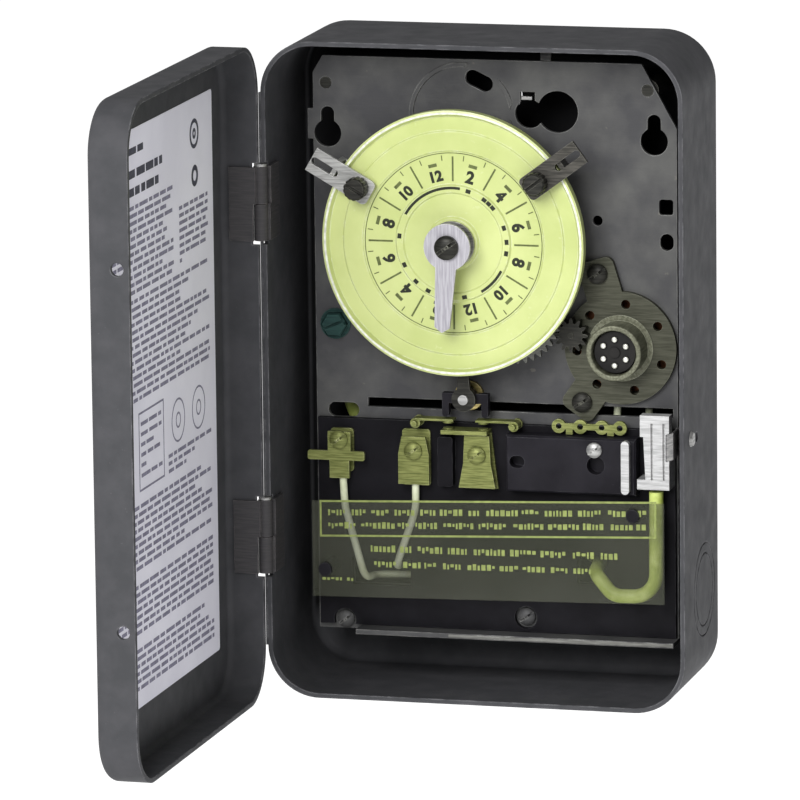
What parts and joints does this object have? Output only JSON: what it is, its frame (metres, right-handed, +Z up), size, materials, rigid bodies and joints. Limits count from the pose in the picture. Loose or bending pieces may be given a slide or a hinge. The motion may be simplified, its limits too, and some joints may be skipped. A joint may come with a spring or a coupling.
{
  "type": "mechanical dial time switch",
  "caption": "Wall-mounted steel box with a side-hinged door, holding a clockwork-dial time switch with trippers, geared motor, pointer, manual lever, terminals and insulating film.",
  "frame": {"origin": "centre of the box's rear face, on the wall", "axes": "+X to the right seen from the front, +Y into the wall, +Z up"},
  "size_m": [0.1432, 0.1753, 0.197],
  "materials": {
    "box_paint": "dark grey baked enamel, satin",
    "label_paper": "printed paper, matt",
    "hinge_steel": "copper-flashed steel",
    "bright_steel": "bright zinc",
    "spring_steel": "spring steel",
    "zinc_plate": "grey-plated steel sheet",
    "green_screw": "green enamel",
    "motor_steel": "olive-grey enamel",
    "copper_wire": "wound enamelled wire",
    "cup_metal": "satin",
    "rotor_dark": "dark with bright pins",
    "brass": "satin",
    "contact_brass": "yellow brass, dull",
    "dial_paint": "pale yellow-green enamel, satin",
    "pointer_metal": "satin",
    "dark_steel": "black oxide",
    "tripper_bright": "bright",
    "tripper_dark": "dark plated",
    "dark_board": "moulded board, satin",
    "dark_plastic": "moulded phenolic, satin",
    "clear_film": "smoky translucent film",
    "white_wire": "white insulation",
    "green_wire": "green-yellow insulation"
  },
  "bodies": {
    "box": {"enclosure": "box_paint", "hinge_leaves_box": "hinge_steel", "hinge_pins": "bright_steel", "latch_rivet": "bright_steel", "plate_posts": "dark_steel", "mechanism_plate": "zinc_plate", "plate_screws": "zinc_plate", "locating_tab": "spring_steel", "ground_screw": "green_screw", "motor_front_plate": "motor_steel", "motor_can": "motor_steel", "motor_coil": "copper_wire", "rotor_cup": "cup_metal", "motor_screws": "dark_steel", "idler_stud": "bright_steel", "dial_arbor": "bright_steel", "arbor_nut": "bright_steel", "pull_spring": "spring_steel", "time_pointer": "pointer_metal", "pointer_screw": "dark_steel", "lever_bush": "brass", "blade_posts": "contact_brass", "fixed_contacts": "contact_brass", "terminal_board": "dark_board", "terminal_strips": "contact_brass", "terminal_saddles": "contact_brass", "terminal_screws": "contact_brass", "motor_terminal_block": "dark_plastic", "block_screw": "bright_steel", "jumper_links": "contact_brass", "block_clip": "bright_steel", "side_terminal": "bright_steel", "insulating_film": "clear_film", "film_rivets": "dark_plastic", "left_lead": "white_wire", "middle_lead": "white_wire", "earth_lead": "green_wire"},
    "door": {"door": "box_paint", "door_label": "label_paper", "hinge_leaves_door": "hinge_steel"},
    "latch": {"latch_spring": "spring_steel"},
    "sleeve": {"dial_sleeve": "brass", "dial_retaining_ring": "spring_steel"},
    "dial": {"dial": "dial_paint", "dial_gear": "brass"},
    "on_tripper": {"on_tripper": "tripper_bright"},
    "on_screw": {"on_thumb_screw": "dark_steel"},
    "off_tripper": {"off_tripper": "tripper_dark"},
    "off_screw": {"off_thumb_screw": "dark_steel"},
    "idler": {"idler_gear": "zinc_plate", "idler_pinion": "brass"},
    "output_pinion": {"motor_pinion": "dark_steel"},
    "rotor": {"motor_rotor": "rotor_dark"},
    "lever": {"manual_lever": "dark_steel", "lever_shaft": "bright_steel", "switch_rocker": "dark_plastic"},
    "left_blade": {"left_blade": "contact_brass"},
    "right_blade": {"right_blade": "contact_brass"}
  },
  "joints": [
    {"name": "door_hinge", "type": "hinge", "parent": "box", "child": "door", "pos_m": [-0.0638, -0.048, 0], "axis": [0, 0, 1], "range_deg": [-29, 91]},
    {"name": "latch_flex", "type": "hinge", "parent": "box", "child": "latch", "pos_m": [0.06065, -0.0432, -0.0174], "axis": [0, 0, -1], "range_deg": [0, 2], "stiffness_Nm_per_rad": 1, "springref_deg": -1.15},
    {"name": "dial_pull", "type": "slide", "parent": "box", "child": "sleeve", "axis": [0, -1, 0], "range_m": [0, 0.003], "stiffness_N_per_m": 1500, "springref_m": -0.002, "deforming": ["pull_spring"]},
    {"name": "dial_turn", "type": "hinge", "parent": "sleeve", "child": "dial", "pos_m": [-0.008, -0.038, 0.0383], "axis": [0, 1, 0], "continuous": true},
    {"name": "on_tripper_shift", "type": "hinge", "parent": "dial", "child": "on_tripper", "pos_m": [-0.008, -0.038, 0.0383], "axis": [0, 1, 0], "range_deg": [-110, 46]},
    {"name": "on_screw_turn", "type": "hinge", "parent": "on_tripper", "child": "on_screw", "pos_m": [-0.03606, -0.041, 0.0545], "axis": [0, 1, 0], "continuous": true},
    {"name": "off_tripper_shift", "type": "hinge", "parent": "dial", "child": "off_tripper", "pos_m": [-0.008, -0.038, 0.0383], "axis": [0, 1, 0], "range_deg": [-46, 110]},
    {"name": "off_screw_turn", "type": "hinge", "parent": "off_tripper", "child": "off_screw", "pos_m": [0.01808, -0.041, 0.05753], "axis": [0, 1, 0], "continuous": true},
    {"name": "idler_turn", "type": "hinge", "parent": "box", "child": "idler", "pos_m": [0.00818, -0.03, 0.01545], "axis": [0, 1, 0], "continuous": true},
    {"name": "output_turn", "type": "hinge", "parent": "box", "child": "output_pinion", "pos_m": [0.02551, -0.029, 0.01057], "axis": [0, 1, 0], "continuous": true},
    {"name": "rotor_turn", "type": "hinge", "parent": "box", "child": "rotor", "pos_m": [0.0396, -0.033, 0.0066], "axis": [0, 1, 0], "continuous": true},
    {"name": "lever_tilt", "type": "hinge", "parent": "box", "child": "lever", "pos_m": [-0.0067, -0.03, -0.0095], "axis": [0, 1, 0], "range_deg": [-8, 8]},
    {"name": "left_blade_flex", "type": "hinge", "parent": "box", "child": "left_blade", "pos_m": [-0.0217, -0.0306, -0.0172], "axis": [0, 1, 0], "range_deg": [-5.4, 5.4]},
    {"name": "right_blade_flex", "type": "hinge", "parent": "box", "child": "right_blade", "pos_m": [0.0083, -0.0306, -0.0172], "axis": [0, 1, 0], "range_deg": [-5.4, 5.4]}
  ],
  "couplings": [
    {"joint": "idler_turn", "follows": "dial_turn", "ratio": -6},
    {"joint": "output_turn", "follows": "dial_turn", "ratio": 18},
    {"joint": "left_blade_flex", "follows": "lever_tilt", "ratio": -0.66667},
    {"joint": "right_blade_flex", "follows": "lever_tilt", "ratio": -0.66667}
  ]
}
